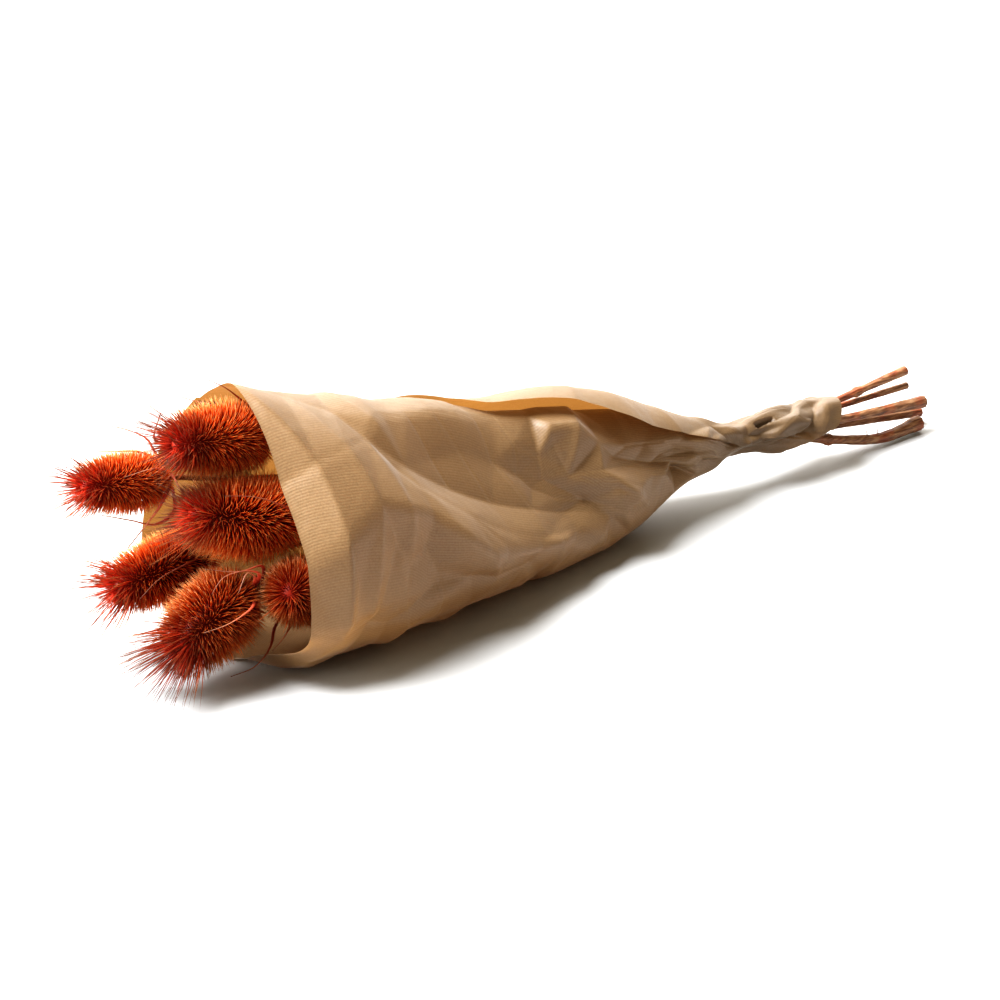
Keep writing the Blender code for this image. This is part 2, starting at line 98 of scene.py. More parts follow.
# Where the sheet stands out: over its own first layer, in the flap's arches and on the ridge.
LAYER_RISE, LAYER_GAP = (235, 318), 1.8 * MM  # turns from, to; height
FLAP_RISE = (280, 368)  # turns from, to
FLAP_ARCHES = ((0.035, 0.105, 14.5 * MM), (-0.070, 0.026, 3.0 * MM))  # x, its reach, height
RIDGE_LIFT = (-0.064, 0.052, 40, 6.5 * MM)  # x, its reach, its reach in turn, height
NECK_FOLDS = (0.135, 0.030, 5, 55.0, 1.0 * MM)  # from x, fade, number, twist, height
WRAP_ROWS, MAIN_COLUMNS, FLAP_COLUMNS = 395, 206, 36
FLOOR_GAP = 0.4 * MM
AXIS_LEVEL, AXIS_SQUEEZE = 0.040, 0.8  # of the cone's middle line: level, height against width

# Creases of the paper's near side, each a line through points: x in mm, turn from the ridge in
# degrees, and how far the point stands out in mm. Flat facets join the lines.
CREASE_LINES = (
    ((-139, 29, 3.5), (-128, 22, 7), (-117, 17, 5), (-97, 15, 3.5), (-76, 13, 3), (-58, 12, 2),
     (-42, 10, 0.5), (-25, 8, 1)),
    ((-139, 29, 3.5), (-117, 40, 0.5), (-85, 50, -5.5), (-54, 61, -8.5), (-23, 73, -9.5),
     (8, 89, -13), (40, 107, -5)),
    ((-139, 29, 3.5), (-127, 42, 2.5), (-117, 50, 4), (-85, 65, 2), (-54, 79, -1.5),
     (-23, 90, -3), (8, 102, -6), (32, 116, -0.5)),
    ((-212, 72, 0.5), (-185, 66, 10), (-157, 57, 12), (-135, 60, 11.5), (-117, 63, 8),
     (-95, 74, 9), (-76, 84, 6)),
    ((-157, 57, 12), (-146, 69, 3), (-136, 79, -0.5), (-142, 89, -0.5), (-139, 102, -1.5),
     (-136, 117, 1)),
    ((-135, 60, 11.5), (-124, 74, 0.5), (-114, 86, -2.5), (-112, 102, 0), (-114, 117, 0.5)),
    ((-139, 29, 3.5), (-160, 36, 8.5), (-185, 40, 6), (-212, 44, -7.5)),
    ((-139, 29, 3.5), (-150, 14, 1.5), (-175, 4, 0)),
    ((-212, 90, -0.5), (-190, 100, 2), (-170, 98, -1.5), (-155, 106, -1.5)),
    ((-25, 8, 1), (-20, 25, -3), (-23, 42, -10.5), (-14, 56, -13), (0, 70, -13), (25, 86, -12.5),
     (50, 104, -1)),
    ((1, 10, 1.5), (8, 24, 4.5), (8, 30, -2), (12, 44, -7), (15, 54, -8.5), (30, 68, -6),
     (45, 80, -3), (62, 94, 1.5), (75, 110, -1)),
    ((-20, 25, -3), (-3, 33, -7), (-4, 50, -12), (10, 66, -13), (25, 86, -12.5)),
    ((15, 54, -8.5), (38, 60, -2.5), (61, 64, -7), (80, 78, -7), (98, 95, -4.5), (112, 111, -9.5)),
    ((8, 24, 4.5), (27, 27, 6.5), (42, 38, 0), (55, 49, -6), (75, 62, -8.5), (90, 75, -9),
     (108, 89, -7.5), (127, 108, -2)),
    ((30, 68, -6), (48, 74, -0.5), (66, 88, -1.5), (62, 94, 1.5)),
    ((55, 49, -6), (68, 42, -4.5), (88, 42, -6.5), (104, 46, -4.5), (114, 61, -6),
     (100, 66, -8.5), (90, 75, -9)),
    ((61, 64, -7), (68, 70, -6.5), (84, 86, -5), (98, 95, -4.5)),
    ((108, 89, -7.5), (118, 96, -3.5), (120, 108, -4.5)),
    ((114, 61, -6), (128, 76, -3), (138, 105, -3)),
    ((128, 60, 0), (143, 80, 0), (155, 110, 0)),
    ((150, 62, 0.5), (160, 80, -0.5), (168, 98, -1)),
    ((-76, 13, 3), (-66, 28, -3.5), (-54, 61, -8.5)),
    ((-97, 15, 3.5), (-90, 33, -3.5), (-85, 50, -5.5)),
    ((-42, 10, 0.5), (-40, 32, -7), (-23, 73, -9.5)),
    ((-90, 92, -1), (-70, 100, 1), (-40, 104, -1.5)),
    ((-85, 65, 2), (-62, 84, 2.5), (-30, 96, -0.5)),
    ((-185, 66, 10), (-180, 82, 3), (-190, 100, 2)),
    ((-10, 100, -0.5), (5, 112, -2), (20, 122, -0.5)),
    ((152, 22, -0.8), (157, 42, -2.4), (166, 70, -2.6), (176, 106, -1.6)),
    ((163, 5, 1.4), (168, 28, 2.2), (173, 56, 2.4), (180, 92, 1.6)),
    ((181, -14, 0), (182, 22, -0.8), (181, 60, -0.8), (184, 100, 0)),
    ((189, 14, 1.2), (204, 10, 1.4), (219, 4, 0.4)),
    ((186, 54, 1), (196, 47, 2), (205, 41, 2), (213, 36, 1.2), (221, 22, -0.6), (229, -8, -1)),
    ((190, 68, -2.4), (192, 86, -2.6), (193, 106, -1)),
    ((197, 90, 1.4), (200, 77, 2.6), (211, 56, 3.2), (219, 43, 3.6), (228, 12, 2), (239, -4, 2.6)),
    ((243, 10, -1.6), (238, 36, -2.6), (235, 52, -3), (226, 82, -3.4), (216, 98, -2)),
    ((118, 50, -2), (138, 58, 1), (150, 66, -0.5)),
    ((108, 76, -8), (126, 86, -1.5), (146, 96, 0.8), (160, 104, 0)),
    ((219, 43, 3), (224, 55, 1.5), (229, 57, 2.2), (228, 66, 0.4)),
    ((255, -8, 1), (248, 24, 2.2), (245, 52, 1.2), (241, 72, 2), (235, 112, 1)),
    ((266, 30, 0), (262, 60, 0.4), (256, 92, 0)),
    ((197, 118, 1.2), (209, 104, -1), (212, 92, 1.4), (224, 104, 1.6), (226, 126, 0.6)),
)

# Random creases on a jittered grid: x span with its step, turn span with its step, heights.
FAR_CREASES = ((-205, 160, 30), (140, 305, 30), (-2.4, 2.4))
NECK_CREASES = ((166, 192, 8), (130, 310, 30), (-0.3, 1.3))
SLEEVE_CREASES = ((197, 268, 9.5), (135, 310, 29), (-1.2, 2.6))
CREASE_SEED, CREASE_JITTER = 4, 0.42

# Points that stay flat: lines along the cone, each a turn and its places, and the field's border.
STILL_LINES = ((-14, range(-210, 175, 32)), (128, range(-205, 175, 24)))
BORDER_X, BORDER_TURNS = (-240, 285), (-42, 322)
BORDER_STEP = 20

SLEEVE_SLOT = ((188.5, 202.5), (31, 29), (49, 39), 3.2)  # x span, turns of two sides, depth
CREASE_BLUR = 1  # passes
CREASE_WIDTH = 2.2  # of the worn line along a crease, in mm
CREASE_GAIN, GAIN_FADE = 1.55, (0.13, 0.17)  # of the cone's creases, and the x span where it ends
FLAP_CALM, CALM_TO = 0.75, 350  # how much the creases fade in the flap, and the turn by which
TURN_SQUEEZE = 0.8  # of degrees against mm, when the creases' facets are made
TURN_LENGTH = 0.75  # of a degree in mm, for the width of the worn lines

# Seed heads: name, base, tip of the core, core radius, length of a side spine, and what share of
# the crown's spines are long ones.
HEADS = (
    ("head_a", (-0.1830, 0.0040, 0.1240), (-0.2475, -0.0050, 0.1370), 13.5 * MM, 12.0 * MM, 0.20),
    ("head_b", (-0.2370, 0.0260, 0.1040), (-0.2940, 0.0180, 0.1160), 11.5 * MM, 9.3 * MM, 0.34),
    ("head_c", (-0.1820, -0.0200, 0.0790), (-0.2430, -0.0120, 0.0970), 15.5 * MM, 15.0 * MM, 0.12),
    ("head_d", (-0.2080, 0.0250, 0.0510), (-0.2730, 0.0250, 0.0450), 12.5 * MM, 11.5 * MM, 0.26),
    ("head_e", (-0.2190, -0.0270, 0.0480), (-0.2705, -0.0370, 0.0285), 15.0 * MM, 13.5 * MM, 0.34),
    ("head_f", (-0.1770, -0.0310, 0.0390), (-0.2120, -0.0620, 0.0570), 13.0 * MM, 11.0 * MM, 0.03),
)
EGG_SKEW, EGG_CUTS = 0.80, (0.030, 0.004)  # of the core's outline: skew, shares cut off its ends
CORE_SHARE = 0.93  # of the solid's core, so that the spines' roots sink in
CORE_RINGS, CORE_SIDES, CORE_SAMPLES = 41, 48, 400
CORE_ALONG, CORE_TINT, CORE_CROWN = 0.10, 0.4, (0.80, 0.98)  # its place on the spines' colours

# Spines. Their width is a radius at the root, their lean is towards the tip of the head.
SPINES_PER_AREA = 0.62  # to the square millimetre
SPINE_SIDES, SPINE_WIDTH = 3, 0.38 * MM
SPINE_STATIONS, SPINE_TAPER = (0.0, 0.30, 0.66), (1.0, 0.80, 0.46)
SPINE_LEAN, SPINE_STRAY = (0.02, 0.30), 0.075
SPINE_BEND, BEND_STRAY, ROLL_STRAY, WIDTH_STRAY = 0.10, 0.05, 0.3, (0.8, 1.2)
FOOT_REACH, FOOT_TO = 0.80, 0.25  # shorter spines at the head's base, and the share they end at
REACH_STRAY = (-0.16, 0.12)
CROWN_FROM, CROWN_GAIN = 0.62, 0.22
LONG_FROM, LONG_GAIN, LONG_LEAN = 0.80, (1.1, 2.0), 0.55
SHORTEST, CUT_STEP = 0.2, 0.05  # of a spine that has little room, and how finely it is fitted
NEIGHBOUR_ROOM = 9.0 * MM  # how far the spines of two heads may cross
WALL_ROOM = 0.8 * MM
TOP_LEVEL = 0.1640  # no spine reaches higher
GOLDEN_TURN = math.pi * (3 - math.sqrt(5))
SPINE_SEED = 11

# Painted light and shade for each head: spines made lighter on the shaded heads B, C and D and
# darker on the lit heads E and F; and how much of the crown's own colours a head shows if not all.
HEAD_LIGHT_SHIFT = {"head_b": 0.2, "head_c": 0.4, "head_d": 0.35, "head_e": -0.5, "head_f": -0.6}
CROWN_RED = {"head_f": 0.35}

# Long bracts of each head: the points that each passes through, in mm.
LONG_BRACTS = {
    "head_a": (
        ((-180, 6, 133), (-191, 10, 146), (-199, 14, 154), (-207, 21, 159)),
        ((-182, 7, 130), (-198, 16, 140), (-213, 25, 146), (-223, 34, 150)),
        ((-188, 7, 124), (-214, 19, 127), (-233, 31, 132), (-243, 40, 137)),
        ((-221, 33, 121), (-239, 27, 129), (-236, 24, 144)),
    ),
    "head_b": (
        ((-233, 26, 111), (-244, 31, 120), (-260, 40, 122), (-274, 49, 122)),
        ((-233, 26, 109), (-237, 30, 119), (-239, 34, 126), (-246, 40, 131), (-256, 50, 134)),
        ((-233, 24, 106), (-246, 12, 117), (-258, 6, 121), (-271, 9, 119)),
        ((-233, 20, 99), (-238, 11, 89), (-250, 12, 84), (-261, 19, 87), (-274, 30, 90)),
        ((-233, 22, 103), (-241, 13, 101), (-250, 8, 95), (-259, 6, 89), (-272, 7, 77)),
        ((-233, 25, 108), (-236, 13, 109), (-238, 4, 106), (-238, -1, 102)),
    ),
    "head_c": (
        ((-177, -24, 77), (-198, -42, 99), (-219, -40, 110), (-233, -34, 112)),
    ),
    "head_d": (
        ((-210, 25, 47), (-236, 6, 57), (-256, 3, 54), (-268, 3, 46)),
    ),
    "head_e": (
        ((-214, -31, 48), (-224, -50, 69), (-237, -53, 74), (-249, -53, 73), (-257, -54, 66)),
        ((-215, -30, 48), (-228, -53, 69), (-238, -60, 75), (-246, -64, 67)),
        ((-210, -33, 51), (-213, -39, 66), (-227, -38, 66), (-243, -27, 68)),
        ((-214, -33, 45), (-235, -56, 50), (-253, -60, 48), (-265, -57, 46)),
    ),
    "head_f": (
        ((-186, -28, 32), (-202, -34, 23), (-210, -41, 16), (-222, -43, 8), (-235, -37, 3)),
        ((-183, -30, 33), (-198, -43, 25), (-208, -49, 22), (-215, -50, 18)),
    ),
}
BRACT_WIDTH, BRACT_TIP, BRACT_FLATNESS = 1.0 * MM, 0.25 * MM, 0.6
BRACT_ROOT, BRACT_POWER = 0.55, 1.6  # its root's share of its width, and how soon it narrows
BRACT_LIFT, BRACT_FREE = (-3.4 * MM, -4.3 * MM, 2.3 * MM), 0.4  # out of the spines, from this share
BRACT_STEPS, BRACT_SIDES = 22, 6

# Stems: name, head, end radius, radius at the head, then the points it passes through.
STEMS = (
    ("stem_a", "head_a", 3.35 * MM, 1.9 * MM, (
        (-0.140, 0.008, 0.1080), (-0.020, 0.004, 0.0720), (0.178, 0.0013, 0.0393),
        (0.252, 0.0062, 0.0352), (0.335, 0.0080, 0.0420),
    )),
    ("stem_b", "head_b", 2.35 * MM, 1.7 * MM, (
        (-0.200, 0.032, 0.0930), (-0.020, 0.018, 0.0610), (0.178, 0.0052, 0.0363),
        (0.252, 0.0095, 0.0305), (0.337, 0.0080, 0.0310),
    )),
    ("stem_c", "head_c", 4.35 * MM, 2.0 * MM, (
        (-0.140, -0.020, 0.0670), (-0.020, -0.013, 0.0490), (0.178, -0.0039, 0.0369),
        (0.252, -0.0040, 0.0290), (0.345, 0.0000, 0.0200),
    )),
    ("stem_d", "head_d", 3.35 * MM, 1.9 * MM, (
        (-0.190, 0.028, 0.0480), (-0.020, 0.017, 0.0370), (0.178, 0.0042, 0.0317),
        (0.252, 0.0060, 0.0215), (0.352, 0.0098, 0.0080),
    )),
    ("stem_e", "head_e", 5.0 * MM, 2.1 * MM, (
        (-0.200, -0.014, 0.0360), (-0.150, -0.011, 0.0310), (-0.020, -0.009, 0.0300),
        (0.178, -0.0020, 0.0308), (0.228, -0.0026, 0.0240), (0.262, -0.0040, 0.0145),
        (0.305, -0.0040, 0.0056), (0.341, -0.0010, 0.0062),
    )),
)
# The fork: the stem it grows from, its head, its radius and the points it passes through.
BRANCH = ("stem_e", "head_f", 1.9 * MM, ((-0.150, -0.0140, 0.0290), (-0.100, -0.0106, 0.0305)))
STEM_GAP, STEM_NECK = 0.4 * MM, 10 * MM  # below a head: the gap, and how far the stem runs straight
STEM_TAPER = 4.5
END_CROWDING = 0.11  # more of the stem's steps towards its two ends
STEM_SIDES, STEM_STEPS = 28, 150
STEM_RIBS, RIB_DEPTH, RIB_TWIST = 9, 0.055, 9
NODE_RINGS = {"stem_a": (0.291,), "stem_e": (0.256,), "stem_c": (0.100,), "stem_d": (0.020,)}  # x
RING_HEIGHT, RING_REACH = 0.42, 2.6 * MM
LONG_WAVE, SHORT_WAVE = (0.03, 210), (0.02, 530)  # of its thickness: height, radians to a metre
CUT_RINGS = ((0.93, 0.35 * MM), (0.62, 0.30 * MM), (0.50, -0.9 * MM))  # share of radius, out
PITH_DEPTH = 1.0 * MM

# Thorns and frayed fibres: the stem, where each starts, where it ends and its width, in mm.
SPLINTERS = (
    ("stem_e", (291, -4, 11), (289.5, -4, 16.5), 0.7),
    ("stem_e", (301, -4, 9), (299.5, -4, 15), 0.8),
    ("stem_a", (333, 7.0, 40), (341, 6.0, 38.6), 0.3),
    ("stem_a", (334, 8.5, 39.5), (340, 9.0, 37.4), 0.25),
)
SPLINTER_TAPER, SPLINTER_SIDES = (1.0, 0.8, 0.5, 0.12), 6

# Camera at the photograph's angle: azimuth and elevation in degrees, distance, aim, focal length.
CAMERA_AZIMUTH, CAMERA_ELEVATION = -38.3, 22.6
CAMERA_DISTANCE, CAMERA_AIM = 2.2, (-0.012, 0.0, 0.0415)
CAMERA_LENS, CAMERA_SENSOR, CAMERA_REACH = 131.04, 36, 20

# Lights: name, the direction it comes from, strength, angle in degrees and colour.
LIGHTS = (
    ("key", (-0.55, 0.28, 0.95), 8.6, 32, (0.96, 1.0, 1.06)),
    ("back", (0.40, 0.85, 0.85), 3.5, 70, (1.0, 1.0, 1.0)),
    ("left", (-0.92, 0.26, 0.32), 3.1, 40, (1.0, 1.0, 1.0)),
)
WORLD_COLOUR, WORLD_STRENGTH = (1.0, 0.87, 0.66), 0.40
FLOOR_SIZE = 6.0

OFFSET = np.array((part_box("paper_wrap")[0][0] - (MOUTH_X - MOUTH_LEAN), 0, 0))


def smoothstep(low, high, value):
    share = np.clip((value - low) / (high - low), 0, 1)
    return share * share * (3 - 2 * share)


def unit(vectors):
    return vectors / np.linalg.norm(vectors, axis=-1, keepdims=True)


def hermite(knots, values, slopes, where):
    """A smooth curve through the values at the knots, read at each place in where."""
    i = np.clip(np.searchsorted(knots, where, side="right") - 1, 0, len(knots) - 2)
    span = knots[i + 1] - knots[i]
    s = np.clip((where - knots[i]) / span, 0, 1)[..., None]
    span = span[..., None]
    return (
        (2 * s**3 - 3 * s**2 + 1) * values[i]
        + (s**3 - 2 * s**2 + s) * span * slopes[i]
        + (3 * s**2 - 2 * s**3) * values[i + 1]
        + (s**3 - s**2) * span * slopes[i + 1]
    )


def smooth_path(points, steps, crowding=0.0):
    knots = np.array(points, float)
    along = np.r_[0, np.cumsum(np.linalg.norm(np.diff(knots, axis=0), axis=1))]
    share = np.linspace(0, 1, steps + 1)
    where = along[-1] * (share - crowding * np.sin(math.tau * share))
    return hermite(along, knots, np.gradient(knots, along, axis=0), where)


# Pieces


def finish_piece(obj, node):
    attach(obj, "root")
    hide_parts(node)


def add_mesh(name, points, faces, materials, attributes=(), face_material=None):
    mesh = bpy.data.meshes.new(name)
    faces = np.asarray(faces)
    points = np.asarray(points) + OFFSET
    mesh.vertices.add(len(points))
    mesh.vertices.foreach_set("co", points.ravel().astype(np.float32))
    sides = faces.shape[1]
    mesh.loops.add(faces.size)
    mesh.loops.foreach_set("vertex_index", faces.ravel().astype(np.int32))
    mesh.polygons.add(len(faces))
    mesh.polygons.foreach_set("loop_start", np.arange(0, faces.size, sides, dtype=np.int32))
    mesh.polygons.foreach_set("use_smooth", np.ones(len(faces), bool))
    for made in materials:
        mesh.materials.append(made)
    if face_material is not None:
        mesh.polygons.foreach_set("material_index", np.asarray(face_material, dtype=np.int32))
    for label, values in attributes:
        layer = mesh.attributes.new(label, "FLOAT", "POINT")
        layer.data.foreach_set("value", np.asarray(values, dtype=np.float32))
    mesh.update()
    mesh.validate()
    obj = bpy.data.objects.new(name, mesh)
    bpy.context.scene.collection.objects.link(obj)
    return obj


def ring_faces(rings, sides):
    """Triangles between each ring of points and the next."""
    faces = []
    for i in range(rings - 1):
        for k in range(sides):
            a, b = i * sides + k, i * sides + (k + 1) % sides
            faces += [(a, b, b + sides), (a, b + sides, a + sides)]
    return faces


def closed_faces(rings, sides):
    """The same, closed to a point at either end. Those two points follow the rings."""
    faces = ring_faces(rings, sides)
    foot, last = rings * sides, (rings - 1) * sides
    for k in range(sides):
        after = (k + 1) % sides
        faces += [(foot, after, k), (foot + 1, last + k, last + after)]
    return np.array(faces)


# Paper wrap


def wrap_section(x, turn, grow):
    """y and z on the wrap. x in metres, turn in radians from the ridge towards the near side."""
    table = np.array(WRAP_STATIONS)
    xs, rows = table[:, 0], table[:, 1:]
    ridge, level, underside, half_width = np.moveaxis(
        hermite(xs, rows, np.gradient(rows, xs, axis=0), np.clip(x, xs[0], xs[-1])), -1, 0
    )
    start, first, end, last = BELLY_POWERS
    belly = first + (last - first) * smoothstep(start, end, x)
    sine, cosine = np.sin(turn), np.cos(turn)
    power = np.where(cosine > 0, RIDGE_POWER, belly)
    power = power + (NECK_POWER - power) * smoothstep(*NECK_BLEND, x)
    height = np.where(cosine > 0, ridge - level, level - underside) + grow
    scale = (np.abs(sine) ** power + np.abs(cosine) ** power) ** (-1 / power)
    y = -np.sign(sine) * (half_width + grow) * np.abs(sine) * scale
    z = level + np.sign(cosine) * height * np.abs(cosine) * scale
    return y, z


def bump(value, middle, reach):
    share = np.clip(np.abs(value - middle) / reach, 0, 1)
    return (1 - share * share) ** 2


def jittered(x_span, turn_span, heights, draw):
    """Crease points on a jittered grid. Each span: from, to, step."""
    (x0, x1, dx), (t0, t1, dt) = x_span, turn_span
    made = []
    for row, x in enumerate(np.arange(x0, x1, dx)):
        for turn in np.arange(t0 + dt / 2 * (row % 2), t1, dt):
            shift = draw.uniform(-CREASE_JITTER, CREASE_JITTER, 2)
            made.append((x + shift[0] * dx, turn + shift[1] * dt, draw.uniform(*heights)))
    return made


def crease_points():
    """All the crease points, the near side's listed and the rest at random, and the folds."""
    draw = np.random.default_rng(CREASE_SEED)
    places, folds = {}, []
    for line in CREASE_LINES:
        numbers = [places.setdefault(point, len(places)) for point in line]
        folds += zip(numbers, numbers[1:])
    points = list(places)
    for turn, xs in STILL_LINES:
        points += [(x, turn, 0) for x in xs]
    for grid in (FAR_CREASES, NECK_CREASES, SLEEVE_CREASES):
        points += jittered(*grid, draw)
    for x in range(*BORDER_X, BORDER_STEP):
        points += [(x, turn, 0) for turn in BORDER_TURNS]
    for turn in range(-BORDER_STEP, BORDER_TURNS[1], BORDER_STEP):
        points += [(x, turn, 0) for x in BORDER_X]
    return np.array(points, float), folds


def nearby(points, place):
    """A height for a place where two creases cross, from the three points nearest to it."""
    order = np.argsort(np.linalg.norm(points[:, :2] - place, axis=1))[:3]
    return points[order, 2].mean()


def facet_field(points, folds, x, turn):
    """How far the creased sheet stands out, by flat facets between the crease points, in mm."""
    squeeze = np.array((1.0, TURN_SQUEEZE))
    plane = [Vector(p) for p in points[:, :2] * squeeze]
    corners, _, faces, origins, _, _ = geometry.delaunay_2d_cdt(plane, folds, [], 0, 1e-4)
    corners = np.array([tuple(c) for c in corners])
    heights = np.array(
        [points[o[0], 2] if o else nearby(points, c / squeeze) for c, o in zip(corners, origins)]
    )
    where = np.stack([x, turn * squeeze[1]], axis=-1)
    out = np.zeros(x.shape)
    for face in faces:
        a, b, c = corners[face[0]], corners[face[1]], corners[face[2]]
        low, high = np.minimum(np.minimum(a, b), c), np.maximum(np.maximum(a, b), c)
        near = ((where >= low - 1e-6) & (where <= high + 1e-6)).all(axis=-1)
        if not near.any():
            continue
        edges = np.linalg.inv(np.column_stack([b - a, c - a]))
        share = (where[near] - a) @ edges.T
        inside = (share >= -1e-6).all(axis=-1) & (share.sum(axis=-1) <= 1 + 1e-6)
        value = heights[face[0]] + share @ (heights[[face[1], face[2]]] - heights[face[0]])
        kept = out[near]
        kept[inside] = value[inside]
        out[near] = kept
    return out


def crease_share(points, folds, x, turn):
    """How near each place is to a crease line: 1 on the line, 0 from CREASE_WIDTH away."""
    to_mm = np.array((1.0, TURN_LENGTH))
    where = np.stack([x, turn * to_mm[1]], axis=-1)
    nearest = np.full(x.shape, 1e3)
    for first, last in folds:
        a, b = points[first, :2] * to_mm, points[last, :2] * to_mm
        share = np.clip((where - a) @ (b - a) / ((b - a) @ (b - a)), 0, 1)
        away = np.linalg.norm(where - a - share[..., None] * (b - a), axis=-1)
        nearest = np.minimum(nearest, away)
    return np.clip(1 - nearest / CREASE_WIDTH, 0, 1)


def blur(field, passes):
    for _ in range(passes):
        for axis in (0, 1):
            padded = np.concatenate(
                [field.take([0], axis), field, field.take([-1], axis)], axis=axis
            )
            middle = padded.take(range(1, padded.shape[axis] - 1), axis)
            before = padded.take(range(0, padded.shape[axis] - 2), axis)
            after = padded.take(range(2, padded.shape[axis]), axis)
            field = (before + 2 * middle + after) / 4
    return field


def slot_depth(x, turn):
    """The narrow gap left in the crumpled sleeve, where one fold lies over another."""
    span, upper, lower, depth = SLEEVE_SLOT
    inside = (x > span[0]) & (x < span[1]) & (turn > np.interp(x, span, upper))
    return depth * (inside & (turn < np.interp(x, span, lower)))


def sheet_turns(x):
    """The turn of each point, for rows at x: once round, then out to the flap's edge."""
    main = np.linspace(SHEET_START, FLAP_START, MAIN_COLUMNS + 1)
    edge = 360 + np.interp(x, *zip(*FLAP_EDGE))
    flap = np.linspace(FLAP_START, edge, FLAP_COLUMNS + 1, axis=1)[:, 1:]
    return np.concatenate([np.repeat(main[None], len(x), axis=0), flap], axis=1)


def layer_height(x, turn):
    """How far the sheet stands out where it laps over itself, and in the folds of the neck."""
    out = LAYER_GAP * smoothstep(*LAYER_RISE, turn)
    for middle, reach, lift in FLAP_ARCHES:
        out = out + lift * smoothstep(*FLAP_RISE, turn) * bump(x, middle, reach)
    middle, reach, spread, lift = RIDGE_LIFT
    out = out + lift * bump(x, middle, reach) * bump((turn + 180) % 360 - 180, 0, spread)
    start, fade, folds, twist, height = NECK_FOLDS
    wave = np.cos(folds * np.radians(turn) + twist * (x - start) * math.tau / 4)
    return out + height * smoothstep(start, start + fade, x) * wave


def crease_height(x, turn, wrapped):
    """How far the creased sheet stands out, and how near each point is to a crease."""
    points, folds = crease_points()
    creased = blur(facet_field(points, folds, x / MM, wrapped), CREASE_BLUR)
    creased = creased * (CREASE_GAIN + (1 - CREASE_GAIN) * smoothstep(*GAIN_FADE, x))
    creased = (creased - slot_depth(x / MM, wrapped)) * MM
    calm = smoothstep(FLAP_START, CALM_TO, turn) * (1 - smoothstep(*NECK_BLEND, x))
    return creased * (1 - FLAP_CALM * calm), crease_share(points, folds, x / MM, wrapped)


def wrap_grid():
    """Points of the sheet, row by row from the mouth, and each point's turn and wear."""
    share = np.linspace(0, 1, WRAP_ROWS + 1)[:, None]
    x = MOUTH_X + share * (SLEEVE_X - MOUTH_X)
    turn = sheet_turns(x[:, 0])
    radians = np.radians(turn)
    wrapped = (turn + 40) % 360 - 40  # both layers have one turn, and so the same creases
    x = x + (MOUTH_LEAN + share * (SLEEVE_LEAN - MOUTH_LEAN)) * np.cos(radians)
    middle, reach, depth = SLEEVE_TEAR
    x = x - depth * bump(wrapped, middle, reach) * smoothstep(TEAR_FROM, 1, share)
    creased, worn = crease_height(x, turn, wrapped)
    out = layer_height(x, turn) + creased
    middle, reach, span, curl = LIP_CURL
    out = out - curl * bump(wrapped, middle, reach) * (1 - smoothstep(0, span, x - x.min(axis=0)))
    y, z = wrap_section(x, radians, out)
    return np.stack([x, y, np.maximum(z, FLOOR_GAP)], axis=-1), turn, worn


def build_wrap():
    points, turn, worn = wrap_grid()
    index = np.arange(turn.size).reshape(turn.shape)
    faces = np.stack(
        [index[:-1, :-1], index[1:, :-1], index[1:, 1:], index[:-1, 1:]], axis=-1
    ).reshape(-1, 4)
    steps = np.linalg.norm(np.diff(points, axis=1), axis=-1)
    arc = np.concatenate([np.zeros((len(points), 1)), np.cumsum(steps, axis=1)], axis=1)
    ridge = int(np.argmin(np.abs(turn[0])))
    across = arc - arc[:, ridge : ridge + 1]
    values = (("across", across), ("lengthwise", points[:, :, 0]), ("worn", worn))
    values = [(label, value.ravel()) for label, value in values]
    obj = add_mesh("kraft_wrap", points.reshape(-1, 3), faces, [paper_material()], values)
    finish_piece(obj, "paper_wrap")


def wrap_room(points, margin):
    """Which points lie inside the paper, or beyond its mouth, and above the floor."""
    x, y, z = points[..., 0], points[..., 1], points[..., 2]
    height = z - AXIS_LEVEL
    inner = np.abs(np.arctan2(-y, height * AXIS_SQUEEZE))
    wall_y, wall_z = wrap_section(x, np.where(y > 0, -inner, inner), -margin)
    inside = np.hypot(y, height) < np.hypot(wall_y, wall_z - AXIS_LEVEL)
    return (inside | (x < MOUTH_X - MOUTH_LEAN)) & (z > margin)


# Seed heads


class Head:
    """The core of one seed head: an egg on its own axis, which the spines stand on."""

    def __init__(self, name, base, tip, radius, spine, long_share):
        self.name, self.radius, self.spine, self.long_share = name, radius, spine, long_share
        self.base, self.tip = np.array(base), np.array(tip)
        self.length = np.linalg.norm(self.tip - self.base)
        self.axis = unit(self.tip - self.base)
        self.side = unit(np.cross(self.axis, (0.0, 0.0, 1.0)))
        self.up = np.cross(self.side, self.axis)

    def core_radius(self, share):
        foot, crown = EGG_CUTS
        s = (foot + (1 - foot - crown) * np.clip(share, 0, 1)) ** EGG_SKEW
        return self.radius * 2 * np.sqrt(s * (1 - s))

    def outward(self, angle):
        return np.cos(angle)[..., None] * self.side + np.sin(angle)[..., None] * self.up

    def surface(self, share, angle, shrink=1.0):
        along = self.base + np.asarray(share)[..., None] * self.axis * self.length
        return along + self.outward(angle) * (self.core_radius(share) * shrink)[..., None]

    def normal(self, share, angle):
        step = 0.02
        rise = self.core_radius(share + step) - self.core_radius(share - step)
        run = self.length * 2 * step
        return unit(self.outward(angle) * run - rise[..., None] * self.axis)

    def distance(self, points):
        share = np.clip((points - self.base) @ self.axis / self.length, 0, 1)
        centre = self.base + share[..., None] * self.axis * self.length
        return np.linalg.norm(points - centre, axis=-1) - self.core_radius(share)


